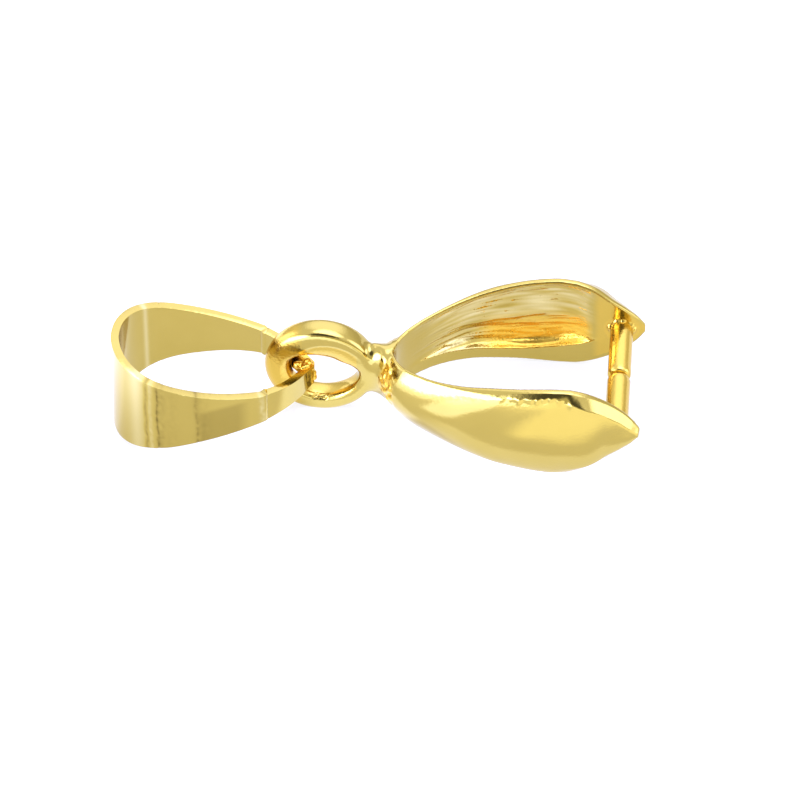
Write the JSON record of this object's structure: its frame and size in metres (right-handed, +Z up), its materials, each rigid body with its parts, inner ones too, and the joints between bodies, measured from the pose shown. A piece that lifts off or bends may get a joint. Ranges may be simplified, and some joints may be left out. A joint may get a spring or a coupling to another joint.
{
  "type": "pinch bail finding",
  "caption": "Jewellery bail finding: a spring clasp of hollow leaf shells with facing pins grips a bead or stone, and a folded strip loop through its ring takes the chain.",
  "frame": {"origin": "middle of the footprint on the table, at table height, with both pieces lying on their side edges", "axes": "+X runs from the fold of the loop bail to the tips of the clasp's shells, +Y across the pins, +Z up along the height of the leaf outline"},
  "size_m": [0.02, 0.007, 0.0043],
  "materials": {
    "polished_gilt": "polished, gold plated sheet",
    "cast_gilt": "polished outside and rough inside, gold plated casting"
  },
  "bodies": {
    "clasp": {"pinch_clasp": "cast_gilt"},
    "bail": {"slide_bail": "polished_gilt"}
  },
  "joints": [
    {"name": "bail_swing", "type": "hinge", "parent": "clasp", "child": "bail", "pos_m": [-0.00375, -0.0001, 0.00215], "axis": [0, 0, 1], "range_deg": [-100, 90]}
  ]
}
